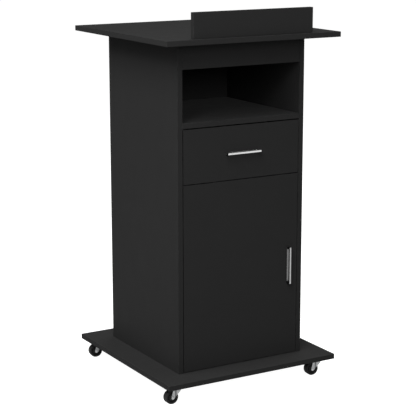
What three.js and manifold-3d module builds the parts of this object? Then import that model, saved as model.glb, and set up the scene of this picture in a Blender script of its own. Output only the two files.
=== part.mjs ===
// A presentation lectern on casters: a storage cabinet between a square top board and a square base board.
// Millimetres, +Z up. The origin is on the floor under the middle of the boards. The drawer and the door
// face -Y, and +X is to the right of someone who faces them.

import * as THREE from 'three';
import { mergeVertices } from 'three/addons/utils/BufferGeometryUtils.js';
import Module from 'manifold-3d';

const wasm = await Module();
wasm.setup();

// ---- Driving dimensions -------------------------------------------------------------------------

const GAP = 0.3; // clearance between pieces that meet
const BOARD = 16; // every panel of the carcass, the door and the drawer front
const PLAN = 600; // side of the square top board and base board
const CASTER_HEIGHT = 55; // floor to the underside of the base board
const BODY_HEIGHT = 1004; // base board to top board
const CABINET_WIDTH = 444;
const CABINET_DEPTH = 440;
const STOP_HEIGHT = 76; // the document stop that stands on the top board
const STOP_SETBACK = 14; // from the top board's front edge to the stop
const FASCIA_HEIGHT = 78; // fixed rail under the top board
const COMPARTMENT_HEIGHT = 158; // clear height of the open compartment
const DRAWER_FRONT_HEIGHT = 164.5;
const SHELF_REVEAL = 3; // shelf to drawer front
const FRONT_REVEAL = 2.5; // drawer front to door, and door to base board
const SIDE_REVEAL = 2; // door or drawer front to the side panels

const DIVIDER_SETBACK = 0.6; // the divider stops the door just short of its front edge

const DRAWER_BOX = { width: 386, length: 370, height: 120, wall: 12, lift: 16.5, bottom: 4, groove: 6 };
const RUNNER = { length: 350, height: 45, setback: 3, sheet: 1.2, lift: 50.4 };

const HANDLE = { length: 117, width: 6.5, depth: 17, bar: 4, back: 2, leg: 6.5 };
const HANDLE_SCREW = { radius: 2, clearance: 2.5, head: 4.2, headHeight: 2.5, bite: 6 };
const DOOR_HANDLE_INSET = 34.5; // handle's middle to the door's free edge

const SHELF_PIN = { radius: 2.5, depth: 9, reach: 8, tip: 0.6, collar: 4.2, collarDepth: 1.2 };
const PIN_PITCH = 32; // spacing of the shelf-pin holes
const PIN_STEPS = [-2, -1, 0, 1, 2]; // the holes of one column, from the one in use
const PIN_ROWS = [-150, 150]; // the holes' distance behind the middle of the panel
const SHELF_HEIGHT = 345; // underside of the loose cupboard shelf
const SHELF_SLACK = 2; // the loose shelf's clearance to each side panel
const SHELF_SETBACK = 24; // the loose shelf's front edge behind the door

// A cup hinge, drawn round the door's front left edge, which is its turning axis.
const HINGE = { bore: 17.8, boreDepth: 12, cupInset: 22.5, fromEnd: 100, plateBack: 56 };
const CUP = { radius: 17.4, depth: 11.6, wall: 1.2, floor: 1, flange: 1.2, rim: 2, ears: [16, 62] };
const LINK = { inner: 29, outer: 31.5, halfWidth: 4.8, start: 11.5, end: 92 };
const ARM = { inner: 26, outer: 28.5, halfWidth: 7.5, start: 13.5, end: 88, wall: 1.2 };
const ARM_CHEEK = { outer: 36, start: 74, end: 86, clearance: 0.4 };
const ARM_BODY = { off: [1.5, 10], along: [32.5, 78], hollow: [40, 76.5] };
const HINGE_PLATE = { sheet: 2.9, width: 20, length: 48, pad: [34, 14], screw: 3.4, head: 1.2, screwAt: 17 };
const CATCH = { left: 110, width: 46, depth: 14, height: 14, setback: 3 };
const STRIKE = { width: 40, height: 12, sheet: 1.2 };

const CASTER_PLACE = 256; // swivel axes, from the middle of the base board along X and along Y
const CASTER = { trail: 15, wheel: 21, wheelWidth: 20, plate: 38, plateSheet: 2.5, forkSheet: 2 };
const CASTER_TURN = { front_left: 182, front_right: 174, back_left: 174, back_right: 187 };
const RACE = { radius: 13.5, height: 5.6, chamfer: 2 };
const CROWN = { length: 30, width: 28, corner: 5, inset: 3, skirt: [4, 3] };
const BLADE_EYE = { radius: 5.5, start: 230, end: 382 }; // round end of a blade, about the axle
const KINGPIN = { radius: 3, head: 5.5, headHeight: 1.6 };
const AXLE = { radius: 2.5, head: 4.2, headHeight: 1.5, chamfer: 0.6 };
const TREAD_ROUND = 2.5;
const WHEEL_RECESS = { outer: 15.5, inner: 6.8, draft: 1, depth: 2.2, hub: 1.5 };

// ---- Levels and faces that follow from them -----------------------------------------------------

const half = PLAN / 2;
const baseTop = CASTER_HEIGHT + BOARD;
const topUnderside = baseTop + BODY_HEIGHT;
const topSurface = topUnderside + BOARD;
const cabinetSide = CABINET_WIDTH / 2;
const cabinetEnd = CABINET_DEPTH / 2;
const inside = cabinetSide - BOARD; // inner face of a side panel
const frontFace = -cabinetEnd;
const frontBack = frontFace + BOARD; // rear face of the door and of the drawer front
const backInside = cabinetEnd - BOARD; // inner face of the back panel
const fasciaBottom = topUnderside - FASCIA_HEIGHT;
const shelfTop = fasciaBottom - COMPARTMENT_HEIGHT;
const shelfBottom = shelfTop - BOARD;
const drawerFrontTop = shelfBottom - SHELF_REVEAL;
const drawerFrontBottom = drawerFrontTop - DRAWER_FRONT_HEIGHT;
const doorTop = drawerFrontBottom - FRONT_REVEAL;
const doorBottom = baseTop + FRONT_REVEAL;
const frontSide = inside - SIDE_REVEAL; // side edge of the door and of the drawer front
const drawerMiddle = (drawerFrontTop + drawerFrontBottom) / 2;
const doorMiddle = (doorTop + doorBottom) / 2;

// ---- Looks --------------------------------------------------------------------------------------

const LOOKS = {
  laminate: { color: 0x26262a, roughness: 0.5, metalness: 0 },
  drawerBoard: { color: 0x8f8b84, roughness: 0.6, metalness: 0 },
  brushed: { color: 0xc4c6c8, roughness: 0.35, metalness: 0.9 },
  zinc: { color: 0xa9adb2, roughness: 0.4, metalness: 0.85 },
  wheel: { color: 0x1d1d1f, roughness: 0.7, metalness: 0 },
  plastic: { color: 0x2a2a2c, roughness: 0.55, metalness: 0 },
};

const lectern = new THREE.Group();

function add(name, geometry, look, parent = lectern) {
  const mesh = new THREE.Mesh(geometry, new THREE.MeshStandardMaterial(LOOKS[look]));
  mesh.name = name;
  parent.add(mesh);
  return mesh;
}

// ---- Shapes -------------------------------------------------------------------------------------

// A box given by its low and high X, Y and Z.
function block([x0, x1], [y0, y1], [z0, z1]) {
  const box = new THREE.BoxGeometry(x1 - x0, y1 - y0, z1 - z0);
  return box.translate((x0 + x1) / 2, (y0 + y1) / 2, (z0 + z1) / 2);
}

// An outline in X and Y, raised from z0 to z1.
function raised(shape, z0, z1, curveSegments = 8) {
  const solid = new THREE.ExtrudeGeometry(shape, { depth: z1 - z0, bevelEnabled: false, curveSegments });
  return solid.translate(0, 0, z0);
}

// An outline in X and Z, drawn out along Y from y0 to y1.
function drawn(shape, y0, y1, curveSegments = 8) {
  const solid = new THREE.ExtrudeGeometry(shape, { depth: y1 - y0, bevelEnabled: false, curveSegments });
  return solid.rotateX(Math.PI / 2).translate(0, y1, 0);
}

// A closed outline from a list of [x, y] corners.
function outline(corners) {
  return new THREE.Shape(corners.map(([x, y]) => new THREE.Vector2(x, y)));
}

// A rectangle with rounded corners, centred on the origin.
function roundedRectangle(width, height, radius) {
  const [x, y] = [width / 2 - radius, height / 2 - radius];
  const shape = new THREE.Shape();
  shape.absarc(x, y, radius, 0, Math.PI / 2);
  shape.absarc(-x, y, radius, Math.PI / 2, Math.PI);
  shape.absarc(-x, -y, radius, Math.PI, 1.5 * Math.PI);
  shape.absarc(x, -y, radius, 1.5 * Math.PI, 2 * Math.PI);
  return shape;
}

// A profile of [radius, height] points turned about the Y axis.
function turned(profile, segments) {
  return new THREE.LatheGeometry(profile.map(([r, y]) => new THREE.Vector2(r, y)), segments);
}

const alongX = (geometry) => geometry.rotateZ(-Math.PI / 2);
const alongZ = (geometry) => geometry.rotateX(Math.PI / 2);

// A plain rod about the Y axis from y0 to y1.
function rod(radius, y0, y1, segments = 12) {
  return turned([[0, y0], [radius, y0], [radius, y1], [0, y1]], segments);
}

// A flat sector of a ring about the Z axis, with its angles in degrees from +X.
function sector(inner, outer, start, end, z0, z1) {
  const [a, b] = [start, end].map(THREE.MathUtils.degToRad);
  const shape = new THREE.Shape();
  shape.absarc(0, 0, outer, a, b);
  shape.absarc(0, 0, inner, b, a, true);
  return raised(shape, z0, z1, 9);
}

// ---- Joining and cutting ------------------------------------------------------------------------

function toSolid(geometry) {
  const bare = geometry.clone();
  bare.deleteAttribute('normal');
  bare.deleteAttribute('uv');
  const merged = mergeVertices(bare, 1e-4);
  return new wasm.Manifold(new wasm.Mesh({
    numProp: 3,
    vertProperties: new Float32Array(merged.attributes.position.array),
    triVerts: new Uint32Array(merged.index.array),
  }));
}

function toGeometry(solid) {
  const { vertProperties, triVerts } = solid.getMesh();
  const geometry = new THREE.BufferGeometry();
  geometry.setAttribute('position', new THREE.BufferAttribute(vertProperties, 3));
  geometry.setIndex(new THREE.BufferAttribute(triVerts, 1));
  geometry.computeVertexNormals();
  return geometry;
}

// One geometry from several that overlap, less others.
function join(parts, cuts = []) {
  const whole = parts.map(toSolid).reduce((a, b) => a.add(b));
  return toGeometry(cuts.map(toSolid).reduce((a, b) => a.subtract(b), whole));
}

// ---- Boards of the carcass ----------------------------------------------------------------------

function addBoards() {
  const square = [-half, half];
  add('base_board', block(square, square, [CASTER_HEIGHT, baseTop]), 'laminate');
  add('top_board', block(square, square, [topUnderside, topSurface]), 'laminate');
  const stopFront = -half + STOP_SETBACK;
  add('document_stop', block([-inside, inside], [stopFront, stopFront + BOARD],
    [topSurface + GAP, topSurface + STOP_HEIGHT]), 'laminate');

  const between = [-inside + GAP, inside - GAP];
  const toBack = backInside - GAP;
  const upright = [baseTop + GAP, topUnderside - GAP];
  add('back_panel', block(between, [backInside, cabinetEnd], upright), 'laminate');
  add('front_rail', block(between, [frontFace, frontBack], [fasciaBottom, topUnderside - GAP]), 'laminate');
  add('compartment_shelf', block(between, [frontFace, toBack], [shelfBottom, shelfTop]), 'laminate');
  const dividerDepth = [frontBack + DIVIDER_SETBACK, toBack];
  add('drawer_divider', block(between, dividerDepth, [doorTop - BOARD, doorTop]), 'laminate');
  const shelfHalf = inside - SHELF_SLACK;
  add('cupboard_shelf', block([-shelfHalf, shelfHalf], [frontBack + SHELF_SETBACK, toBack - GAP],
    [SHELF_HEIGHT, SHELF_HEIGHT + BOARD]), 'laminate');
}

// The side panels are drilled with two columns of shelf-pin holes.
const pinLevel = SHELF_HEIGHT - GAP - SHELF_PIN.radius;

function addSidePanel(name, side) {
  const faces = [side * inside, side * cabinetSide].sort((a, b) => a - b);
  const panel = block(faces, [-cabinetEnd, cabinetEnd], [baseTop + GAP, topUnderside - GAP]);
  const holes = [];
  for (const y of PIN_ROWS) {
    for (const step of PIN_STEPS) {
      const hole = alongX(rod(SHELF_PIN.radius + GAP, -1, SHELF_PIN.depth + 1, 8));
      hole.scale(side, 1, 1);
      if (side < 0) hole.index.array.reverse();
      holes.push(hole.translate(side * inside, y, pinLevel + step * PIN_PITCH));
    }
  }
  add(name, join([panel], holes), 'laminate');
}

// A pin sits in its hole up to a collar, and the loose shelf rests on its inner end.
function addShelfPin(name, side, y) {
  const { radius, depth, reach, tip, collar, collarDepth } = SHELF_PIN;
  const pin = alongX(turned([
    [0, -reach], [radius - tip, -reach], [radius, tip - reach], [radius, -GAP - collarDepth],
    [collar, -GAP - collarDepth], [collar, -GAP], [radius, -GAP], [radius, depth], [0, depth],
  ], 8));
  if (side < 0) pin.rotateZ(Math.PI);
  add(name, pin.translate(side * inside, y, pinLevel), 'zinc');
}

addBoards();
addSidePanel('side_panel_left', -1);
addSidePanel('side_panel_right', 1);
for (const [sideName, side] of [['left', -1], ['right', 1]]) {
  addShelfPin(`shelf_pin_front_${sideName}`, side, PIN_ROWS[0]);
  addShelfPin(`shelf_pin_back_${sideName}`, side, PIN_ROWS[1]);
}

// ---- Handles and their screws -------------------------------------------------------------------

// A rectangular loop of flat bar along X. Its back lies in the plane Y = 0 and it stands out towards -Y.
function handleGeometry() {
  const { length, width, depth, bar, back, leg } = HANDLE;
  const x = length / 2;
  const loop = outline([[-x, 0], [-x, -depth], [x, -depth], [x, 0]]);
  loop.holes.push(new THREE.Path([
    new THREE.Vector2(leg - x, -back), new THREE.Vector2(x - leg, -back),
    new THREE.Vector2(x - leg, bar - depth), new THREE.Vector2(leg - x, bar - depth),
  ]));
  const sockets = [-1, 1].map((end) => rod(HANDLE_SCREW.radius + GAP, -HANDLE_SCREW.bite - 1, 1, 8)
    .translate(end * (x - leg / 2), 0, 0));
  return join([raised(loop, -width / 2, width / 2)], sockets);
}

// A pan-head screw along Y, through a panel from its rear face at Y = 0.
function screwGeometry() {
  const { radius, head, headHeight, bite } = HANDLE_SCREW;
  return turned([
    [0, -BOARD - GAP - bite], [radius, -BOARD - GAP - bite], [radius, GAP], [head, GAP],
    [head, GAP + headHeight / 2], [head - headHeight / 2, GAP + headHeight], [0, GAP + headHeight],
  ], 10);
}

// The handle on one front, with turn = 0 for a level handle and 90 degrees for an upright one.
function addHandle(name, ends, x, z, turn) {
  const place = (geometry, along, y) => geometry
    .translate(along, 0, 0).rotateY(-THREE.MathUtils.degToRad(turn)).translate(x, y, z);
  add(`${name}_handle`, place(handleGeometry(), 0, frontFace - GAP), 'brushed');
  const reach = (HANDLE.length - HANDLE.leg) / 2;
  ends.forEach((end, i) => {
    add(`${name}_handle_screw_${end}`, place(screwGeometry(), (2 * i - 1) * reach, frontBack), 'zinc');
  });
}

function screwHoles(x, z, turn) {
  const reach = (HANDLE.length - HANDLE.leg) / 2;
  return [-1, 1].map((end) => rod(HANDLE_SCREW.clearance, frontFace - 1, frontBack + 1, 8)
    .translate(end * reach, 0, 0).rotateY(-THREE.MathUtils.degToRad(turn)).translate(x, 0, z));
}

// ---- Drawer -------------------------------------------------------------------------------------

const box = {
  bottom: drawerFrontBottom + DRAWER_BOX.lift,
  front: frontBack + GAP,
};
box.top = box.bottom + DRAWER_BOX.height;
box.rear = box.front + DRAWER_BOX.length;
box.floor = box.bottom + DRAWER_BOX.wall; // underside of the bottom sheet

function addDrawer() {
  const front = block([-frontSide, frontSide], [frontFace, frontBack], [drawerFrontBottom, drawerFrontTop]);
  add('drawer_front', join([front], screwHoles(0, drawerMiddle, 0)), 'laminate');
  addHandle('drawer', ['left', 'right'], 0, drawerMiddle, 0);

  const { width, wall, bottom, groove } = DRAWER_BOX;
  const outer = width / 2;
  const inner = outer - wall;
  for (const [sideName, side] of [['left', -1], ['right', 1]]) {
    const grooved = outline([
      [outer, box.bottom], [outer, box.top], [inner, box.top], [inner, box.floor + bottom + GAP],
      [inner + groove, box.floor + bottom + GAP], [inner + groove, box.floor - GAP],
      [inner, box.floor - GAP], [inner, box.bottom],
    ].map(([x, z]) => [side * x, z]));
    add(`drawer_side_${sideName}`, drawn(grooved, box.front, box.rear), 'drawerBoard');
  }
  add('drawer_back', block([GAP - inner, inner - GAP], [box.rear - wall, box.rear],
    [box.floor + bottom + GAP, box.top]), 'drawerBoard');
  const tongue = inner + groove - GAP;
  add('drawer_bottom', block([-tongue, tongue], [box.front, box.rear], [box.floor, box.floor + bottom]),
    'drawerBoard');
}

// ---- Drawer runners -----------------------------------------------------------------------------

// Each runner is three nested steel channels. A channel's section is given by the depths of its web's two
// faces from the side panel, the depth of its flanges' free edge, and half its height.
const CHANNELS = {
  outer: { web: [GAP, GAP + RUNNER.sheet], edge: 11, halfHeight: RUNNER.height / 2, lip: 3.5 },
  middle: { web: [2.6, 2.6 + RUNNER.sheet], edge: 9.5, halfHeight: 18.4, lip: 0 },
  inner: { web: [12.7 - RUNNER.sheet, 12.7], edge: 5, halfHeight: 15.2, lip: 0 },
};

function channelOutline({ web, edge, halfHeight, lip }) {
  const towardsEdge = Math.sign(edge - web[0]);
  const back = towardsEdge > 0 ? web[0] : web[1];
  const face = towardsEdge > 0 ? web[1] : web[0];
  const flange = halfHeight - RUNNER.sheet;
  const upper = lip > 0
    ? [[edge, halfHeight], [edge, halfHeight - lip], [edge - RUNNER.sheet, halfHeight - lip],
      [edge - RUNNER.sheet, flange], [face, flange]]
    : [[edge, halfHeight], [edge, flange], [face, flange]];
  const lower = upper.map(([x, z]) => [x, -z]).reverse();
  return [[back, halfHeight], ...upper, ...lower, [back, -halfHeight]];
}

function addRunners() {
  const level = box.bottom + RUNNER.lift;
  const start = frontBack + RUNNER.setback;
  for (const [sideName, side] of [['left', -1], ['right', 1]]) {
    for (const [part, channel] of Object.entries(CHANNELS)) {
      const section = channelOutline(channel).map(([x, z]) => [side * (inside - x), level + z]);
      add(`runner_${part}_${sideName}`, drawn(outline(section), start, start + RUNNER.length), 'zinc');
    }
  }
}

addDrawer();
addRunners();

// ---- Door ---------------------------------------------------------------------------------------

const hinges = [['lower', doorBottom + HINGE.fromEnd], ['upper', doorTop - HINGE.fromEnd]];
const axis = { x: -frontSide, y: frontFace }; // the door's front left edge

function addDoor() {
  const panel = block([-frontSide, frontSide], [frontFace, frontBack], [doorBottom, doorTop]);
  const handleX = frontSide - DOOR_HANDLE_INSET;
  const bores = hinges.map(([, z]) => rod(HINGE.bore, frontBack - HINGE.boreDepth, frontBack + 1, 20)
    .translate(axis.x + HINGE.cupInset, 0, z));
  add('door', join([panel], [...bores, ...screwHoles(handleX, doorMiddle, 90)]), 'laminate');
  addHandle('door', ['lower', 'upper'], handleX, doorMiddle, 90);
}

// The cup is let into the door's rear face, and its flange has an ear above and below.
function cupGeometry() {
  const { radius, depth, wall, floor, flange, rim, ears } = CUP;
  const bore = radius - wall;
  const top = GAP + flange;
  const bowl = rod(radius, -depth, top, 20);
  const plate = raised(roundedRectangle(...ears, ears[0] / 2 - 1), 0, flange, 4)
    .rotateX(Math.PI / 2).translate(0, top, 0);
  const collar = rod(radius + rim, GAP, top, 20);
  const mouth = rod(bore, floor - depth, top + 1, 20);
  return join([bowl, plate, collar], [mouth]);
}

// The arm is fixed to the side panel. Its curved nose reaches into the cup, and two cheeks carry the nose
// past the link. Both are drawn with the turning axis at the origin.
function armGeometry() {
  const { inner, outer, halfWidth, start, end, wall } = ARM;
  const nose = sector(inner, outer, start, end, -halfWidth, halfWidth);
  const cheekInside = LINK.halfWidth + ARM_CHEEK.clearance;
  const cheeks = [[cheekInside, halfWidth], [-halfWidth, -cheekInside]].map(([z0, z1]) => (
    sector((inner + outer) / 2, ARM_CHEEK.outer, ARM_CHEEK.start, ARM_CHEEK.end, z0, z1)));
  const body = block(ARM_BODY.off, ARM_BODY.along, [-halfWidth, halfWidth]);
  const hollow = block([ARM_BODY.off[0] + wall, ARM_BODY.off[1] + 1], ARM_BODY.hollow,
    [wall - halfWidth, halfWidth - wall]);
  return join([nose, ...cheeks, body], [hollow]);
}

// The winged plate is screwed to the side panel under the arm.
function hingePlateGeometry() {
  const { sheet, width, length, pad, screw, head, screwAt } = HINGE_PLATE;
  const wings = raised(roundedRectangle(width, length, width * 0.3), 0, sheet, 3);
  const foot = block([-pad[0] / 2, pad[0] / 2], [-pad[1] / 2, pad[1] / 2], [0, sheet]);
  const heads = [-screwAt, screwAt].map((y) => alongZ(rod(screw, 0, sheet + head, 8)).translate(0, y, 0));
  return join([wings, foot, ...heads]).rotateX(Math.PI / 2).rotateZ(Math.PI / 2);
}

function addHinges() {
  for (const [level, z] of hinges) {
    add(`hinge_cup_${level}`, cupGeometry().translate(axis.x + HINGE.cupInset, frontBack, z), 'zinc');
    add(`hinge_arm_${level}`, armGeometry().translate(axis.x, axis.y, z), 'zinc');
    const link = sector(LINK.inner, LINK.outer, LINK.start, LINK.end, -LINK.halfWidth, LINK.halfWidth);
    add(`hinge_link_${level}`, link.translate(axis.x, axis.y, z), 'zinc');
    add(`hinge_plate_${level}`, hingePlateGeometry().translate(GAP - inside, axis.y + HINGE.plateBack, z),
      'zinc');
  }
}

// A magnetic catch under the divider meets a steel strike on the door.
function addCatch() {
  const { left, width, depth, height, setback } = CATCH;
  const top = doorTop - BOARD - GAP;
  const middle = left + width / 2;
  const front = frontBack + setback;
  const body = block([left, left + width], [front, front + depth], [top - height, top]);
  const magnet = block([middle - width / 3, middle + width / 3], [front - 1, front + 1],
    [top - height * 0.8, top - height * 0.2]);
  add('magnetic_catch', join([body, magnet]), 'plastic');
  const level = top - height / 2;
  add('catch_strike', block([middle - STRIKE.width / 2, middle + STRIKE.width / 2],
    [frontBack + GAP, frontBack + GAP + STRIKE.sheet],
    [level - STRIKE.height / 2, level + STRIKE.height / 2]), 'zinc');
}

addDoor();
addHinges();
addCatch();

// ---- Casters ------------------------------------------------------------------------------------

// Each caster is drawn with its swivel axis on the Z axis and its wheel trailing towards +X.

const plateTop = CASTER_HEIGHT - GAP;
const raceTop = plateTop - CASTER.plateSheet - GAP;
const crownTop = raceTop - RACE.height;
const crownBottom = crownTop - CASTER.forkSheet;
const bladeOutside = CROWN.width / 2;

// The top plate, with the kingpin riveted into it.
function casterPlateGeometry() {
  const { plate, plateSheet } = CASTER;
  const square = raised(roundedRectangle(plate, plate, 4), plateTop - plateSheet, plateTop, 3);
  const { radius, head, headHeight } = KINGPIN;
  const under = crownBottom - GAP;
  const pin = alongZ(turned([
    [0, under - headHeight], [head - 1, under - headHeight], [head, under - headHeight + 1], [head, under],
    [radius, under], [radius, plateTop - 1], [0, plateTop - 1],
  ], 12));
  return join([square, pin]);
}

// The fork: a bearing race, a crown and two blades that carry the axle.
function forkGeometry() {
  const { forkSheet, trail, wheel } = CASTER;
  const { length, width, corner, inset, skirt } = CROWN;
  const plate = raised(roundedRectangle(length, width, corner), crownBottom, crownTop, 3);
  const bearing = alongZ(turned([
    [0, crownTop - GAP], [RACE.radius, crownTop - GAP], [RACE.radius, raceTop - RACE.chamfer],
    [RACE.radius - RACE.chamfer, raceTop], [0, raceTop],
  ], 16));
  const side = new THREE.Shape();
  side.moveTo(inset - length / 2, crownTop);
  side.lineTo(inset - length / 2, crownBottom - skirt[0]);
  const [eyeStart, eyeEnd] = [BLADE_EYE.start, BLADE_EYE.end].map(THREE.MathUtils.degToRad);
  side.absarc(trail, wheel, BLADE_EYE.radius, eyeStart, eyeEnd);
  side.lineTo(length / 2, crownBottom - skirt[1]);
  side.lineTo(length / 2, crownTop);
  const bladeInside = bladeOutside - forkSheet;
  const blades = [[bladeInside, bladeOutside], [-bladeOutside, -bladeInside]]
    .map(([y0, y1]) => drawn(side, y0, y1, 7));
  const eyes = rod(AXLE.radius + GAP, -bladeOutside - 1, bladeOutside + 1).translate(trail, 0, wheel);
  const bore = alongZ(rod(KINGPIN.radius + GAP, crownBottom - 1, raceTop + 1));
  return join([plate, bearing, ...blades], [eyes, bore]);
}

// A profile that is the same on both sides of Y = 0, from the points of its +Y side.
function mirrored(side) {
  return [...side.map(([r, y]) => [r, -y]).reverse(), ...side];
}

function axleGeometry() {
  const { radius, head, headHeight, chamfer } = AXLE;
  const seat = bladeOutside + GAP;
  const end = seat + headHeight;
  return turned(mirrored([
    [radius, seat], [head, seat], [head, end - chamfer], [head - chamfer, end], [0, end],
  ]), 10);
}

// A solid wheel with a bored hub, recessed faces and a rounded tread.
function wheelGeometry() {
  const { wheel, wheelWidth } = CASTER;
  const { outer, inner, draft, depth, hub } = WHEEL_RECESS;
  const face = wheelWidth / 2;
  const bevel = TREAD_ROUND * (1 - Math.SQRT1_2);
  const loop = mirrored([
    [wheel, face - TREAD_ROUND], [wheel - bevel, face - bevel], [wheel - TREAD_ROUND, face],
    [outer, face], [outer - draft, face - depth], [inner + draft, face - depth], [inner, face + hub],
    [AXLE.radius + GAP, face + hub],
  ]);
  return turned([...loop, loop[0]], 24);
}

function addCaster(corner, x, y) {
  const place = new THREE.Group();
  place.position.set(x, y, 0);
  lectern.add(place);
  const swivel = new THREE.Group();
  swivel.rotation.z = THREE.MathUtils.degToRad(CASTER_TURN[corner]);
  place.add(swivel);
  add(`caster_plate_${corner}`, casterPlateGeometry(), 'zinc', place);
  add(`caster_fork_${corner}`, forkGeometry(), 'zinc', swivel);
  for (const [piece, geometry, look] of [
    ['axle', axleGeometry(), 'zinc'], ['wheel', wheelGeometry(), 'wheel'],
  ]) {
    add(`caster_${piece}_${corner}`, geometry, look, swivel).position.set(CASTER.trail, 0, CASTER.wheel);
  }
}

for (const [endName, y] of [['front', -CASTER_PLACE], ['back', CASTER_PLACE]]) {
  addCaster(`${endName}_left`, -CASTER_PLACE, y);
  addCaster(`${endName}_right`, CASTER_PLACE, y);
}

export default lectern;
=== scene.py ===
"""A presentation lectern on casters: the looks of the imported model, in a plain studio.

Metres, +Z up. The drawer and the door face -Y, and +X is to the right of someone who faces them.
"""
import math

import bmesh
import bpy
from mathutils import Matrix, Vector


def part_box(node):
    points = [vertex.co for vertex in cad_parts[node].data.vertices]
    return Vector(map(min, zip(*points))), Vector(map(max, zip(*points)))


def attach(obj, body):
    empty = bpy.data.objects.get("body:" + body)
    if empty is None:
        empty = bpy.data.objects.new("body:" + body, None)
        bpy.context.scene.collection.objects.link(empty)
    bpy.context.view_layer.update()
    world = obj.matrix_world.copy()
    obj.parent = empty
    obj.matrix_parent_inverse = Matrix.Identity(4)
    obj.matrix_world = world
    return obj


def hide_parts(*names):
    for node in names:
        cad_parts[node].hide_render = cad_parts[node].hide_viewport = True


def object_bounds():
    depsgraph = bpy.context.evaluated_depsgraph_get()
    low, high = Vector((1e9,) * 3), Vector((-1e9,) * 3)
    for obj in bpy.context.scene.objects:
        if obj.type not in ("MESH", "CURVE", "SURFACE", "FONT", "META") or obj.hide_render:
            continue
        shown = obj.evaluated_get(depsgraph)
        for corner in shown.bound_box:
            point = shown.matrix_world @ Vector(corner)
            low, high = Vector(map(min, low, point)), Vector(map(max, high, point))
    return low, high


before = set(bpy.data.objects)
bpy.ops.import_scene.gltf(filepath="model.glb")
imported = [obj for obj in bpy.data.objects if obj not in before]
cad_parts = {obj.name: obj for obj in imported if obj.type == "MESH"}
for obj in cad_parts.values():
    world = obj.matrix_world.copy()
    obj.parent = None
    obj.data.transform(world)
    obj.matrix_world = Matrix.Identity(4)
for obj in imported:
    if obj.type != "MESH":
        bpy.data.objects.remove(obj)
cad_low, cad_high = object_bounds()

MM = 0.001
CORNERS = ("front_left", "front_right", "back_left", "back_right")
LEVELS = ("lower", "upper")
SIDES = ("left", "right")

# ---- Camera, light and floor --------------------------------------------------------------------

LENS = 119.8
CAMERA_AZIMUTH = math.radians(30.66)  # to the left of straight in front
CAMERA_PITCH = math.radians(12.53)  # downwards
CAMERA_DISTANCE = 4.402
AIM = Vector((0.0083, -0.0049, -0.0615))  # from the middle of the model

WORLD_LIGHT = 0.03  # what lights the model
WORLD_WHITE = 1.0  # what the camera sees
FLOOR_SIZE = 80.0
FLOOR_COLOUR = (0.3, 0.3, 0.3, 1)
FLOOR_WHITE = 1.0  # the floor's glow to the camera
FLOOR_GLOSS = 0.55  # the floor's glow in reflections

SOFTBOX_DISTANCE = 5.0
# Each softbox: its azimuth and elevation in degrees, its side in metres and its power in watts. Azimuth 0
# is straight in front of the drawer and 90 is to its right.
SOFTBOXES = {
    "key": (-45, 30.7, 0.9, 80),
    "front_low": (-15, 20, 1.5, 100),
    "front_left": (-45, 52, 2.5, 200),
    "left": (-90, 52, 2.5, 190),
    "left_low": (-90, 22, 2.5, 45),
    "back_left": (-120, 35, 2.5, 30),
    "right": (90, 52, 2.5, 120),
    "back_right": (135, 52, 2.5, 60),
}
# A fill without shadows, for the level boards that the top board shades.
SHADE_FILL = (0, 89, 2.5, 80)
SHADED_BOARDS = ("base_board", "compartment_shelf", "drawer_divider", "cupboard_shelf", "drawer_bottom")


def middle():
    return (cad_low + cad_high) / 2


def add_camera():
    data = bpy.data.cameras.new("camera")
    data.lens = LENS
    camera = bpy.data.objects.new("camera", data)
    bpy.context.scene.collection.objects.link(camera)
    forward = Vector((
        math.sin(CAMERA_AZIMUTH) * math.cos(CAMERA_PITCH),
        math.cos(CAMERA_AZIMUTH) * math.cos(CAMERA_PITCH),
        -math.sin(CAMERA_PITCH),
    ))
    camera.location = middle() + AIM - forward * CAMERA_DISTANCE
    camera.rotation_euler = (math.pi / 2 - CAMERA_PITCH, 0, -CAMERA_AZIMUTH)
    bpy.context.scene.camera = camera


def add_softbox(name, azimuth, elevation, size, power):
    data = bpy.data.lights.new(name, "AREA")
    data.size = size
    data.energy = power
    light = bpy.data.objects.new(name, data)
    bpy.context.scene.collection.objects.link(light)
    around, up = math.radians(azimuth), math.radians(elevation)
    towards = Vector((math.sin(around) * math.cos(up), -math.cos(around) * math.cos(up), math.sin(up)))
    light.location = middle() + towards * SOFTBOX_DISTANCE
    light.rotation_euler = towards.to_track_quat("Z", "Y").to_euler()
    return light


def add_shade_fill():
    fill = add_softbox("shade_fill", *SHADE_FILL)
    fill.data.use_shadow = False
    lit = bpy.data.collections.new("shaded_boards")
    for node in SHADED_BOARDS:
        lit.objects.link(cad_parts[node])
    fill.light_linking.receiver_collection = lit


def by_ray(tree, ray, otherwise, then):
    """A strength with one value for a kind of ray, and another number or a socket for every other ray."""
    path = tree.nodes.new("ShaderNodeLightPath")
    strength = tree.nodes.new("ShaderNodeMapRange")
    if isinstance(otherwise, bpy.types.NodeSocket):
        tree.links.new(otherwise, strength.inputs["To Min"])
    else:
        strength.inputs["To Min"].default_value = otherwise
    strength.inputs["To Max"].default_value = then
    tree.links.new(path.outputs[ray], strength.inputs["Value"])
    return strength.outputs["Result"]


def add_world():
    """White behind everything, and a dimmer even light from all round."""
    world = bpy.data.worlds.new("studio")
    world.use_nodes = True
    bpy.context.scene.world = world
    tree = world.node_tree
    background = tree.nodes["Background"]
    background.inputs["Color"].default_value = (1, 1, 1, 1)
    tree.links.new(by_ray(tree, "Is Camera Ray", WORLD_LIGHT, WORLD_WHITE), background.inputs["Strength"])


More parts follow.
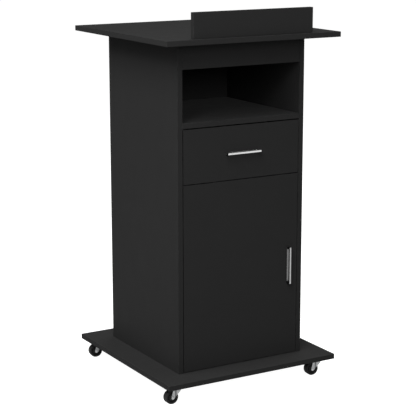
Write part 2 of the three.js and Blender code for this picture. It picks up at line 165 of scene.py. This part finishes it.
def add_floor():
    """A pale matt floor that fades into the white behind it."""
    mesh = bpy.data.meshes.new("floor")
    half = FLOOR_SIZE / 2
    corners = [(-half, -half, 0), (half, -half, 0), (half, half, 0), (-half, half, 0)]
    mesh.from_pydata(corners, [], [(0, 1, 2, 3)])
    floor = bpy.data.objects.new("floor", mesh)
    bpy.context.scene.collection.objects.link(floor)
    pale = bpy.data.materials.new("pale_floor")
    pale.use_nodes = True
    shader = pale.node_tree.nodes["Principled BSDF"]
    shader.inputs["Base Color"].default_value = FLOOR_COLOUR
    shader.inputs["Roughness"].default_value = 0.9
    shader.inputs["Specular IOR Level"].default_value = 0.1
    shader.inputs["Emission Color"].default_value = (1, 1, 1, 1)
    unseen = by_ray(pale.node_tree, "Is Glossy Ray", 0.0, FLOOR_GLOSS)
    glow = by_ray(pale.node_tree, "Is Camera Ray", unseen, FLOOR_WHITE)
    pale.node_tree.links.new(glow, shader.inputs["Emission Strength"])
    mesh.materials.append(pale)


def set_colour_view():
    view = bpy.context.scene.view_settings
    view.view_transform = "Standard"
    view.look = "None"


# ---- Material building --------------------------------------------------------------------------


class Finish:
    """A node material under construction, with one method for each kind of node it uses."""

    def __init__(self, name, colour, roughness, metallic=0.0, specular=0.5):
        self.material = bpy.data.materials.new(name)
        self.material.use_nodes = True
        self.tree = self.material.node_tree
        self.shader = self.tree.nodes["Principled BSDF"]
        self.shader.inputs["Base Color"].default_value = (*colour, 1)
        self.shader.inputs["Roughness"].default_value = roughness
        self.shader.inputs["Metallic"].default_value = metallic
        self.shader.inputs["Specular IOR Level"].default_value = specular
        coordinates = self.node("ShaderNodeTexCoord")
        self.place = coordinates.outputs["Object"]
        self.facing = coordinates.outputs["Normal"]
        self.bumped = None

    def node(self, kind, **settings):
        made = self.tree.nodes.new(kind)
        for key, value in settings.items():
            setattr(made, key, value)
        return made

    def feed(self, socket, value):
        """Sets a socket to a number or a vector, or links it to an output."""
        if isinstance(value, bpy.types.NodeSocket):
            self.tree.links.new(value, socket)
        else:
            socket.default_value = value

    def math(self, operation, a, b=0.0):
        made = self.node("ShaderNodeMath", operation=operation)
        self.feed(made.inputs[0], a)
        self.feed(made.inputs[1], b)
        return made.outputs[0]

    def vector(self, operation, a, b=(0, 0, 0)):
        made = self.node("ShaderNodeVectorMath", operation=operation)
        self.feed(made.inputs[0], a)
        self.feed(made.inputs[1], b)
        return made.outputs["Value" if operation in ("LENGTH", "DISTANCE") else "Vector"]

    def split(self, vector):
        made = self.node("ShaderNodeSeparateXYZ")
        self.feed(made.inputs[0], vector)
        return made.outputs[0], made.outputs[1], made.outputs[2]

    def noise(self, size, detail=2.0, stretch=(1, 1, 1), offset=0.0):
        """Noise whose grains are about size metres across, longer where stretch is over 1."""
        scaled = self.vector("DIVIDE", self.place, tuple(size * s for s in stretch))
        moved = self.vector("ADD", scaled, (offset, offset, offset))
        made = self.node("ShaderNodeTexNoise")
        made.inputs["Scale"].default_value = 1.0
        made.inputs["Detail"].default_value = detail
        self.feed(made.inputs["Vector"], moved)
        return made.outputs["Fac"]

    def remap(self, value, low, high, to_low=0.0, to_high=1.0):
        made = self.node("ShaderNodeMapRange")
        self.feed(made.inputs["Value"], value)
        for key, number in (("From Min", low), ("From Max", high), ("To Min", to_low), ("To Max", to_high)):
            self.feed(made.inputs[key], number)
        return made.outputs["Result"]

    def blend(self, amount, a, b):
        """Colour a where amount is 0 and b where it is 1."""
        made = self.node("ShaderNodeMix", data_type="RGBA")
        self.feed(made.inputs["Factor"], amount)
        for socket, colour in ((made.inputs["A"], a), (made.inputs["B"], b)):
            self.feed(socket, colour if isinstance(colour, bpy.types.NodeSocket) else (*colour, 1))
        return made.outputs["Result"]

    def colour(self, value):
        self.feed(self.shader.inputs["Base Color"], value)

    def roughness(self, value):
        self.feed(self.shader.inputs["Roughness"], value)

    def relief(self, height, depth):
        """Adds a bump of that depth in metres, on top of those added before."""
        made = self.node("ShaderNodeBump")
        made.inputs["Distance"].default_value = depth
        self.feed(made.inputs["Height"], height)
        if self.bumped is not None:
            self.feed(made.inputs["Normal"], self.bumped)
        self.bumped = made.outputs["Normal"]
        self.feed(self.shader.inputs["Normal"], self.bumped)


def scaled(colour, factor):
    return tuple(c * factor for c in colour)


# ---- Finishes -----------------------------------------------------------------------------------

BLACK = (0.0152, 0.0152, 0.0152)
EDGE_BAND = 0.8 * MM  # thickness of the band round a board's edges
SEAM = 0.15 * MM  # half the width of the line between the band and the face

# A handle's front is bright between its two long borders, which are darkened with painted shade. Its plate
# lies against the board, at its back, and is darkened with painted shadow.
BORDER_WIDTH = (0.7 * MM, 1.1 * MM)  # painted shade up to the first, none from the second
PLATE_DEPTH = (4 * MM, 10 * MM)  # painted shadow up to the first, like the rest of the handle from the second
HAIRLINE = 60  # how many times longer than wide the marks of its brushing are


def edge_distance(finish, node):
    """How far a point of a board's face is from the nearest edge of the board, in metres."""
    low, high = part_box(node)
    from_middle = finish.vector("SUBTRACT", finish.place, tuple((low + high) / 2))
    to_faces = finish.vector("SUBTRACT", tuple((high - low) / 2), finish.vector("ABSOLUTE", from_middle))
    a, b, c = finish.split(to_faces)
    smaller = finish.math("MINIMUM", a, b)
    larger = finish.math("MAXIMUM", a, b)
    return finish.math("MAXIMUM", smaller, finish.math("MINIMUM", larger, c))


def board_finish(node, colour, specular, roughness, painted_edge_shade=0.0):
    """Melamine-faced board: a fine pearl texture, faint handling marks and a thin band round its edges.

    The edge faces of a board that faces along Y may be darkened with painted shade, so that the gaps round
    the fronts read dark.
    """
    finish = Finish(f"{node}_finish", colour, roughness, specular=specular)
    pearl = finish.noise(0.55 * MM, detail=3.0)
    cloud = finish.noise(90 * MM, detail=4.0, offset=3.0)
    speck = finish.noise(1.6 * MM, detail=1.0, offset=7.0)
    edge = edge_distance(finish, node)

    body = finish.blend(finish.remap(pearl, 0.3, 0.7), scaled(colour, 0.86), scaled(colour, 1.14))
    body = finish.blend(finish.remap(cloud, 0.35, 0.65, 0.0, 0.2), body, scaled(colour, 1.12))
    body = finish.blend(finish.remap(speck, 0.74, 0.8, 0.0, 0.5), body, scaled(colour, 2.0))
    seam = finish.remap(finish.math("ABSOLUTE", finish.math("SUBTRACT", edge, EDGE_BAND)),
                        0.0, SEAM, 1.0, 0.0)
    body = finish.blend(finish.math("MULTIPLY", seam, 0.7), body, scaled(colour, 0.4))
    rub = finish.math("MULTIPLY", finish.remap(edge, 0.1 * MM, 0.9 * MM, 1.0, 0.0),
                      finish.remap(finish.noise(14 * MM, detail=5.0, offset=11.0), 0.45, 0.7))
    body = finish.blend(finish.math("MULTIPLY", rub, 0.5), body, scaled(colour, 3.0))
    # painted shade: edge faces, seen in the gaps round the door and the drawer front, are darkened almost
    # to black
    if painted_edge_shade:
        sideways = finish.math("ABSOLUTE", finish.split(finish.facing)[1])
        body = finish.blend(finish.remap(sideways, 0.3, 0.7, painted_edge_shade, 0.0), body, scaled(colour, 0.05))
    finish.colour(body)

    marks = finish.noise(38 * MM, detail=6.0, stretch=(1.0, 1.0, 2.2), offset=5.0)
    finish.roughness(finish.remap(marks, 0.3, 0.7, roughness - 0.03, roughness + 0.03))
    finish.relief(pearl, 0.02 * MM)
    finish.relief(seam, -0.05 * MM)
    return finish.material


def brushed_finish(node, tone, along):
    """A handle's metal, brushed along axis 0 or 2.

    Its front keeps the metal's tone. Its two long borders and its flanks are darkened with painted shade,
    for the dark they reflect, and its plate with the painted shadow of the bar.
    """
    stretch = tuple(HAIRLINE if axis == along else 1 for axis in range(3))
    across = 2 - along
    finish = Finish(f"{node}_finish", tone, 0.3, metallic=1.0)
    hairline = finish.noise(0.18 * MM, detail=3.0, stretch=stretch)
    streak = finish.noise(0.9 * MM, detail=2.0, stretch=stretch, offset=9.0)
    finger = finish.noise(16 * MM, detail=3.0, offset=4.0)
    body = finish.blend(finish.remap(hairline, 0.3, 0.7), scaled(tone, 0.8), scaled(tone, 1.15))
    body = finish.blend(finish.remap(streak, 0.4, 0.75, 0.0, 0.4), body, scaled(tone, 0.7))
    flank = finish.remap(finish.split(finish.facing)[1], -0.96, -0.7)  # 0 where the metal faces -Y
    low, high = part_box(node)
    near, far = PLATE_DEPTH
    at_back = finish.remap(finish.split(finish.place)[1], high.y - far, high.y - near)
    middle_line = (low[across] + high[across]) / 2
    from_middle = finish.math("SUBTRACT", finish.split(finish.place)[across], middle_line)
    half = (high[across] - low[across]) / 2
    outer, inner = BORDER_WIDTH
    border = finish.remap(finish.math("ABSOLUTE", from_middle), half - inner, half - outer, 0.0, 0.8)
    # painted shade and shadow: the borders, the flanks and the plate behind the bar are darkened towards a
    # tenth of the tone
    painted_shade = finish.remap(at_back, 0.0, 1.0, finish.math("MAXIMUM", border, flank), 0.65)
    body = finish.blend(painted_shade, body, scaled(tone, 0.1))
    finish.colour(body)
    finish.roughness(finish.math("ADD", finish.remap(hairline, 0.3, 0.7, 0.2, 0.34),
                                 finish.remap(finger, 0.4, 0.7, 0.0, 0.08)))
    finish.relief(hairline, 0.01 * MM)
    return finish.material


def plated_finish(name, tone, roughness, groove=None):
    """Sheet steel with a thin plated coat: spangle, faint rolling lines and a few duller patches.

    Where a groove is pressed across X, its middle is darkened with painted shade.
    """
    finish = Finish(name, tone, roughness, metallic=1.0)
    spangle = finish.noise(1.4 * MM, detail=3.0)
    patch = finish.noise(12 * MM, detail=4.0, offset=6.0)
    rolling = finish.noise(0.5 * MM, detail=2.0, stretch=(1, 12, 1), offset=2.0)
    body = finish.blend(finish.remap(spangle, 0.35, 0.65), scaled(tone, 0.86), scaled(tone, 1.1))
    body = finish.blend(finish.remap(patch, 0.5, 0.75, 0.0, 0.5), body, scaled(tone, 0.72))
    if groove:
        away = finish.math("ABSOLUTE", finish.math("SUBTRACT", finish.split(finish.place)[0], groove["at"]))
        # painted shade: the groove's middle is darkened, standing in for the shade in the pressed hollow
        painted_groove_shade = finish.remap(away, groove["half"] * 0.4, groove["half"], 0.85, 0.0)
        body = finish.blend(painted_groove_shade, body, scaled(tone, 0.25))
    finish.colour(body)
    finish.roughness(finish.math("ADD", finish.remap(patch, 0.35, 0.7, roughness - 0.06, roughness + 0.08),
                                 finish.remap(rolling, 0.3, 0.7, -0.03, 0.03)))
    finish.relief(spangle, 0.012 * MM)
    finish.relief(rolling, 0.008 * MM)
    return finish.material


def moulded_finish(name, tone, roughness, grain, specular):
    """Moulded plastic with a fine spark-eroded grain and faint scuffs."""
    finish = Finish(name, tone, roughness, specular=specular)
    spark = finish.noise(grain, detail=3.0)
    scuff = finish.noise(9 * MM, detail=6.0, offset=8.0)
    body = finish.blend(finish.remap(spark, 0.3, 0.7), scaled(tone, 0.8), scaled(tone, 1.2))
    body = finish.blend(finish.remap(scuff, 0.55, 0.8, 0.0, 0.5), body, scaled(tone, 2.2))
    finish.colour(body)
    finish.roughness(finish.remap(scuff, 0.4, 0.75, roughness - 0.05, roughness + 0.12))
    finish.relief(spark, 0.02 * MM)
    return finish.material


FORK_GROOVE = {
    "at": 5.2 * MM,  # from the swivel axis towards the axle
    "half": 4.4 * MM,  # half of its width
    "depth": 1.1 * MM,
}

ZINC = plated_finish("zinc_plate", (0.50, 0.505, 0.51), 0.38)
FORK_ZINC = plated_finish("fork_zinc_plate", (0.37, 0.375, 0.38), 0.42, FORK_GROOVE)
NICKEL = plated_finish("nickel_plate", (0.74, 0.725, 0.69), 0.26)
WHEEL = moulded_finish("caster_wheel", (0.009, 0.009, 0.009), 0.6, 0.4 * MM, 0.15)
PLASTIC = moulded_finish("black_plastic", (0.022, 0.022, 0.023), 0.55, 0.5 * MM, 0.4)

# ---- CAD nodes ----------------------------------------------------------------------------------

BLACK_BOARDS = (
    "base_board", "top_board", "document_stop", "side_panel_left", "side_panel_right", "back_panel",
    "front_rail", "compartment_shelf", "drawer_divider", "cupboard_shelf", "drawer_front", "door",
)
FRONTS = ("door", "drawer_front")
# how strongly the edge faces of the fronts are darkened with painted shade
FRONT_EDGE_PAINTED_SHADE = 0.9
GREY_BOARDS = ("drawer_side_left", "drawer_side_right", "drawer_back", "drawer_bottom")
DRAWER_GREY = (0.30, 0.29, 0.275)
# The two handles are the same brushed metal: the door handle's lower tone is painted shade, for the dimmer
# reflections of a handle brushed upright.
HANDLES = {"drawer_handle": (1.0, 0), "door_handle": (0.46, 2)}  # tone, and the axis of the brushing
EDGE_ROUNDING = {  # width of the bevel on each kind of node
    "black_board": 0.7 * MM,
    "grey_board": 0.4 * MM,
    "handle": 0.8 * MM,
    "steel": 0.2 * MM,
    "pin": 0.15 * MM,
    "caster_plate": 0.3 * MM,
    "plastic": 0.4 * MM,
}


def soften(piece, width, segments=2):
    """Rounds a piece's sharp edges without touching its own mesh."""
    weld = piece.modifiers.new("weld", "WELD")
    weld.merge_threshold = 0.01 * MM
    flat = piece.modifiers.new("flat", "DECIMATE")
    flat.decimate_type = "DISSOLVE"
    flat.angle_limit = math.radians(1)
    bevel = piece.modifiers.new("bevel", "BEVEL")
    bevel.width = width
    bevel.segments = segments
    bevel.limit_method = "ANGLE"
    bevel.angle_limit = math.radians(40)
    bevel.use_clamp_overlap = True
    normals = piece.modifiers.new("normals", "WEIGHTED_NORMAL")
    normals.keep_sharp = False


def dress(node, material, kind, segments=2):
    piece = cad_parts[node]
    piece.data.materials.clear()
    piece.data.materials.append(material)
    soften(piece, EDGE_ROUNDING[kind], segments)


def dress_cad_nodes():
    for node in BLACK_BOARDS:
        painted_shade = FRONT_EDGE_PAINTED_SHADE if node in FRONTS else 0.0
        dress(node, board_finish(node, BLACK, 0.01, 0.55, painted_shade), "black_board", 3)
    for node in GREY_BOARDS:
        dress(node, board_finish(node, DRAWER_GREY, 0.4, 0.5), "grey_board")
    for node, (tone, along) in HANDLES.items():
        dress(node, brushed_finish(node, (tone, tone, tone), along), "handle", 4)
    for side in SIDES:
        for part in ("outer", "middle", "inner"):
            dress(f"runner_{part}_{side}", ZINC, "steel")
        dress(f"drawer_handle_screw_{side}", ZINC, "steel")
        for end in ("front", "back"):
            dress(f"shelf_pin_{end}_{side}", NICKEL, "pin")
    for level in LEVELS:
        dress(f"door_handle_screw_{level}", ZINC, "steel")
        for part in ("cup", "arm", "link", "plate"):
            dress(f"hinge_{part}_{level}", NICKEL, "steel")
    for corner in CORNERS:
        dress(f"caster_plate_{corner}", ZINC, "caster_plate")
    dress("magnetic_catch", PLASTIC, "plastic")
    dress("catch_strike", ZINC, "steel")


# ---- Meshes -------------------------------------------------------------------------------------


def shown(name, mesh, material, body, place=Matrix.Identity(4)):
    """Puts a finished mesh in the scene as a piece that rides on a body."""
    mesh.materials.clear()
    mesh.materials.append(material)
    piece = bpy.data.objects.new(name, mesh)
    bpy.context.scene.collection.objects.link(piece)
    piece.matrix_world = place
    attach(piece, body)
    return piece


def to_mesh(name, shape, crease=30):
    """Turns a bmesh into a mesh that is smooth except where it bends by more than crease degrees."""
    bmesh.ops.recalc_face_normals(shape, faces=shape.faces)
    mesh = bpy.data.meshes.new(name)
    shape.to_mesh(mesh)
    shape.free()
    mesh.shade_smooth()
    mesh.set_sharp_from_angle(angle=math.radians(crease))
    return mesh


def turned(shape, profile, axis="Z", segments=48, closed=False):
    """Adds a profile of (radius, height) points, turned about an axis through the origin.

    Gives the rings of vertices, one for each point.
    """
    rings = []
    for radius, height in profile:
        count = 1 if radius == 0 else segments
        ring = []
        for i in range(count):
            angle = 2 * math.pi * i / segments
            across, up = radius * math.cos(angle), radius * math.sin(angle)
            point = (across, up, height) if axis == "Z" else (across, height, up)
            ring.append(shape.verts.new(point))
        rings.append(ring)
    pairs = list(zip(rings, rings[1:]))
    if closed:
        pairs.append((rings[-1], rings[0]))
    for low, high in pairs:
        for i in range(segments):
            j = (i + 1) % segments
            corners = [low[i % len(low)], low[j % len(low)], high[j % len(high)], high[i % len(high)]]
            shape.faces.new(list(dict.fromkeys(corners)))
    return rings


def rounded(points, radius, steps=4, closed=False):
    """A profile with each of its corners rounded, as far as its sides allow."""
    made = []
    count = len(points)
    for i, point in enumerate(points):
        here = Vector(point)
        if not closed and i in (0, count - 1):
            made.append(tuple(here))
            continue
        before = Vector(points[i - 1]) - here
        after = Vector(points[(i + 1) % count]) - here
        reach = min(radius, before.length * 0.45, after.length * 0.45)
        start = here + before.normalized() * reach
        end = here + after.normalized() * reach
        for k in range(steps + 1):
            t = k / steps
            made.append(tuple(start * (1 - t) ** 2 + here * 2 * t * (1 - t) + end * t ** 2))
    return made


def gathered(name, mesh, places):
    """One mesh made of a copy of another at each of the places."""
    shape = bmesh.new()
    for place in places:
        part = mesh.copy()
        part.transform(place)
        shape.from_mesh(part)
        bpy.data.meshes.remove(part)
    return to_mesh(name, shape)


# ---- Screws -------------------------------------------------------------------------------------

# Each kind's head, and where it is. Reach is from the middle of the cup or, along X and Y, of the plate,
# floor is the floor of the arm's channel from its left side, and sheet is the plate's thickness.
CUP_SCREW = {"radius": 3.7 * MM, "height": 1.8 * MM, "reach": 25 * MM}
ARM_SCREW = {"radius": 3.4 * MM, "height": 4 * MM, "floor": 1.8 * MM, "from_back": (10 * MM, 31 * MM)}
PLATE_SCREW = {"radius": 3.1 * MM, "height": 1.9 * MM, "reach": 14 * MM, "sheet": 2.5 * MM}

FACING = {
    "+X": Matrix.Rotation(math.pi / 2, 4, "Y"),
    "+Y": Matrix.Rotation(-math.pi / 2, 4, "X"),
    "-Z": Matrix.Rotation(math.pi, 4, "X"),
}


def screw_mesh(radius, height):
    """A screw's raised head on the plane Z = 0, with a cross recess in its crown."""
    shape = bmesh.new()
    crown = [(0, 0), (0.94, 0), (1, 0.2), (1, 0.4), (0.95, 0.62), (0.84, 0.82), (0.66, 1)]
    rim = turned(shape, [(r * radius, z * height) for r, z in crown], segments=24)[-1]
    arm, tip = 0.13 * radius, 0.5 * radius
    taper, bottom = 0.6, 0.3 * height
    quarter = [(tip, -arm), (tip, arm), (arm, arm)]
    outline = []
    for turn in range(4):
        spin = Matrix.Rotation(turn * math.pi / 2, 2)
        outline += [spin @ Vector(point) for point in quarter]
    mouth = [shape.verts.new((x, y, height)) for x, y in outline]
    floor = [shape.verts.new((x * taper, y * taper, bottom)) for x, y in outline]
    count = len(mouth)
    for i in range(count):
        j = (i + 1) % count
        shape.faces.new((mouth[i], mouth[j], floor[j], floor[i]))
    shape.faces.new(floor)
    border = [shape.edges.get((rim[i], rim[(i + 1) % len(rim)])) for i in range(len(rim))]
    border += [shape.edges.get((mouth[i], mouth[(i + 1) % count])) for i in range(count)]
    bmesh.ops.triangle_fill(shape, use_beauty=True, edges=border)
    return to_mesh("screw", shape)


def add_screws(name, screw, facing, points, body):
    places = [Matrix.Translation(point) @ FACING[facing] for point in points]
    screws = gathered(name, screw_mesh(screw["radius"], screw["height"]), places)
    shown(name, screws, ZINC, body)


def add_hinge_screws():
    """Two screws through the ears of each cup, and two adjusting screws in the channel of each arm."""
    for level in LEVELS:
        low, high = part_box(f"hinge_cup_{level}")
        middle_of_cup = (low + high) / 2
        ears = [(middle_of_cup.x, high.y, middle_of_cup.z + way * CUP_SCREW["reach"]) for way in (-1, 1)]
        add_screws(f"hinge_cup_screws_{level}", CUP_SCREW, "+Y", ears, "door")
        low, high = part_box(f"hinge_arm_{level}")
        floor, half_up = low.x + ARM_SCREW["floor"], (low.z + high.z) / 2
        channel = [(floor, high.y - from_back, half_up) for from_back in ARM_SCREW["from_back"]]
        add_screws(f"hinge_arm_screws_{level}", ARM_SCREW, "+X", channel, "cabinet")


def add_caster_screws():
    """The four screws that hold each caster's plate to the base board."""
    for corner in CORNERS:
        low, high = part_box(f"caster_plate_{corner}")
        across, deep, under = (low.x + high.x) / 2, (low.y + high.y) / 2, high.z - PLATE_SCREW["sheet"]
        reach = PLATE_SCREW["reach"]
        corners = [(across + i * reach, deep + j * reach, under) for i in (-1, 1) for j in (-1, 1)]
        add_screws(f"caster_screws_{corner}", PLATE_SCREW, "-Z", corners, "cabinet")


# ---- Casters ------------------------------------------------------------------------------------

# In a caster's own frame: Z is from the floor, X from the swivel axis and Y from the middle of the wheel.
FORK = {
    "level": 45.3 * MM,  # Z of the crown's sheet
    "sheet": 2 * MM,
    "half_width": 13 * MM,  # Y of a blade's sheet
    "bend": 3.4 * MM,  # radius, to the middle of the sheet
    "edge": 0.35 * MM,  # width of the bevel along the sheet's cut edges
    "tip": 0.02 * MM,  # how far the sheet's first row is above the lowest point of the eye
}
CROWN = {"front": -15 * MM, "shoulder": -12 * MM, "rear": 15 * MM}  # X of its edges
BLADE = {
    "front_top": 40.3 * MM,  # Z where the front edge starts to slant
    "rear_top": 41.3 * MM,
    "eye": 5.5 * MM,  # radius of the round end about the axle
    "front_meets": 230,  # degrees round the eye, where the front edge runs into it
    "rear_meets": 382,
}
FORK_STEPS = {"blade": 22, "bend": 6, "crown": 5, "along": 26}  # rows of faces, and faces in each row


def centre(node):
    low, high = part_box(node)
    return (low + high) / 2


def swivel_to_axle(corner):
    return centre(f"caster_axle_{corner}") - centre(f"caster_plate_{corner}")


TRAIL = swivel_to_axle("front_left").xy.length
AXLE_LEVEL = centre("caster_axle_front_left").z


def caster_place(corner):
    """The caster's frame: its swivel axis on the Z axis of the floor, its wheel trailing towards +X."""
    swivel = centre(f"caster_plate_{corner}")
    trail = swivel_to_axle(corner)
    turn = Matrix.Rotation(math.atan2(trail.y, trail.x), 4, "Z")
    return Matrix.Translation((swivel.x, swivel.y, 0)) @ turn


def blade_edges(level):
    """Where the front and the rear edge of a fork blade are at a level above the floor."""
    eye = BLADE["eye"]

    def meets(key):
        angle = math.radians(BLADE[key])
        return TRAIL + eye * math.cos(angle), AXLE_LEVEL + eye * math.sin(angle)

    def edge(top, top_x, key, way):
        x, z = meets(key)
        if level >= top:
            return top_x
        if level >= z:
            return top_x + (x - top_x) * (top - level) / (top - z)
        return TRAIL + way * math.sqrt(max(0.0, eye ** 2 - (level - AXLE_LEVEL) ** 2))

    return (edge(BLADE["front_top"], CROWN["shoulder"], "front_meets", -1),
            edge(BLADE["rear_top"], CROWN["rear"], "rear_meets", 1))


def fork_section():
    """Half of the sheet's middle line, from a blade's lowest point to the middle of the crown."""
    low = AXLE_LEVEL - BLADE["eye"]
    top = FORK["level"] - FORK["bend"]
    flat = FORK["half_width"] - FORK["bend"]
    line = []
    for i in range(FORK_STEPS["blade"]):
        share = 1 - math.cos(math.pi / 2 * i / FORK_STEPS["blade"])
        line.append((FORK["half_width"], low + FORK["tip"] + (top - low) * share))
    for i in range(FORK_STEPS["bend"] + 1):
        angle = math.pi / 2 * i / FORK_STEPS["bend"]
        line.append((flat + FORK["bend"] * math.cos(angle), top + FORK["bend"] * math.sin(angle)))
    for i in range(1, FORK_STEPS["crown"] + 1):
        line.append((flat * (1 - i / FORK_STEPS["crown"]), FORK["level"]))
    return line


def pressed_in(across, along):
    """How far the groove takes a point of the sheet towards the wheel."""
    flat = FORK["half_width"] - FORK["bend"]
    on_blade = min(1.0, max(0.0, (abs(across) - flat) / FORK["bend"]))
    share = min(1.0, abs(along - FORK_GROOVE["at"]) / FORK_GROOVE["half"])
    return FORK_GROOVE["depth"] * on_blade * (1 + math.cos(math.pi * share)) / 2


def fork_mesh():
    """A stamped fork: one sheet bent down on both sides of the wheel, with a groove in each blade."""
    half = fork_section()
    line = half + [(-y, z) for y, z in reversed(half[:-1])]
    shape = bmesh.new()
    divisions = FORK_STEPS["along"]
    rows = []
    flat = FORK["half_width"] - FORK["bend"]
    for y, z in line:
        front, rear = blade_edges(z)
        bulge = math.sqrt(max(0.0, 1 - (y / flat) ** 2)) if abs(y) < flat else 0.0
        front += (CROWN["front"] - CROWN["shoulder"]) * bulge
        row = []
        for i in range(divisions + 1):
            x = front + (rear - front) * i / divisions
            row.append(shape.verts.new((x, y - math.copysign(pressed_in(y, x), y), z)))
        rows.append(row)
    for low, high in zip(rows, rows[1:]):
        for i in range(divisions):
            shape.faces.new((low[i], low[i + 1], high[i + 1], high[i]))
    return to_mesh("caster_fork", shape, 60)


def race_mesh():
    """The swivel bearing: two cups, one turned over on the other, with the gap of its balls between."""
    profile = [(4, 46.4), (12, 46.4), (13.5, 47.2), (13.5, 48.3), (12.4, 48.7), (12.0, 49.2), (12.6, 49.6),
               (13.4, 50.0), (13.4, 51.2), (12.2, 51.9), (4, 51.9)]
    shape = bmesh.new()
    turned(shape, rounded([(r * MM, z * MM) for r, z in profile], 0.5 * MM, 3, closed=True), closed=True)
    return to_mesh("caster_race", shape)


def wheel_mesh():
    """A moulded wheel about its own Y axis: crowned tread, a deep ring in each face, and a hub."""
    side = [(2.9, 11.4), (5.4, 11.4), (6.0, 9.6), (9.8, 9.2), (10.9, 8.6), (11.2, 3.6), (13.7, 3.4),
            (14.2, 9.2), (15.2, 10.0), (19.6, 10.0), (20.6, 9.6), (20.95, 8.7), (21.0, 4.5), (21.0, 0.5)]
    profile = [(r * MM, y * MM) for r, y in side] + [(r * MM, -y * MM) for r, y in reversed(side)]
    shape = bmesh.new()
    turned(shape, rounded(profile, 0.6 * MM, 3, closed=True), "Y", 72, closed=True)
    return to_mesh("caster_wheel", shape)


def axle_mesh():
    """A riveted axle about its own Y axis, with a domed head outside each blade."""
    side = [(2.4, 13.0), (2.4, 14.3), (4.2, 14.3), (4.2, 14.7), (3.3, 15.5), (1.6, 15.8), (0, 15.8)]
    profile = [(r * MM, y * MM) for r, y in side]
    shape = bmesh.new()
    full = [(r, -y) for r, y in reversed(profile)] + profile
    turned(shape, rounded(full, 0.4 * MM, 3), "Y", 32)
    return to_mesh("caster_axle", shape)


def add_casters():
    fork, race, wheel, axle = fork_mesh(), race_mesh(), wheel_mesh(), axle_mesh()
    for corner in CORNERS:
        place = caster_place(corner)
        axle_place = place @ Matrix.Translation((TRAIL, 0, AXLE_LEVEL))
        body = f"caster_{corner}"
        piece = shown(f"fork_{corner}", fork.copy(), FORK_ZINC, body, place)
        sheet = piece.modifiers.new("sheet", "SOLIDIFY")
        sheet.thickness = FORK["sheet"]
        sheet.offset = 0
        edge = piece.modifiers.new("edge", "BEVEL")
        edge.width = FORK["edge"]
        edge.segments = 2
        edge.limit_method = "ANGLE"
        edge.angle_limit = math.radians(50)
        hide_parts(f"caster_fork_{corner}")
        shown(f"race_{corner}", race.copy(), ZINC, body, place)
        piece = shown(f"axle_{corner}", axle.copy(), ZINC, body, axle_place)
        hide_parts(f"caster_axle_{corner}")
        piece = shown(f"wheel_{corner}", wheel.copy(), WHEEL, f"wheel_{corner}", axle_place)
        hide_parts(f"caster_wheel_{corner}")


# ---- The scene ----------------------------------------------------------------------------------

set_colour_view()
add_camera()
add_world()
add_floor()
for softbox, facts in SOFTBOXES.items():
    add_softbox(softbox, *facts)
add_shade_fill()
dress_cad_nodes()
add_casters()
add_caster_screws()
add_hinge_screws()
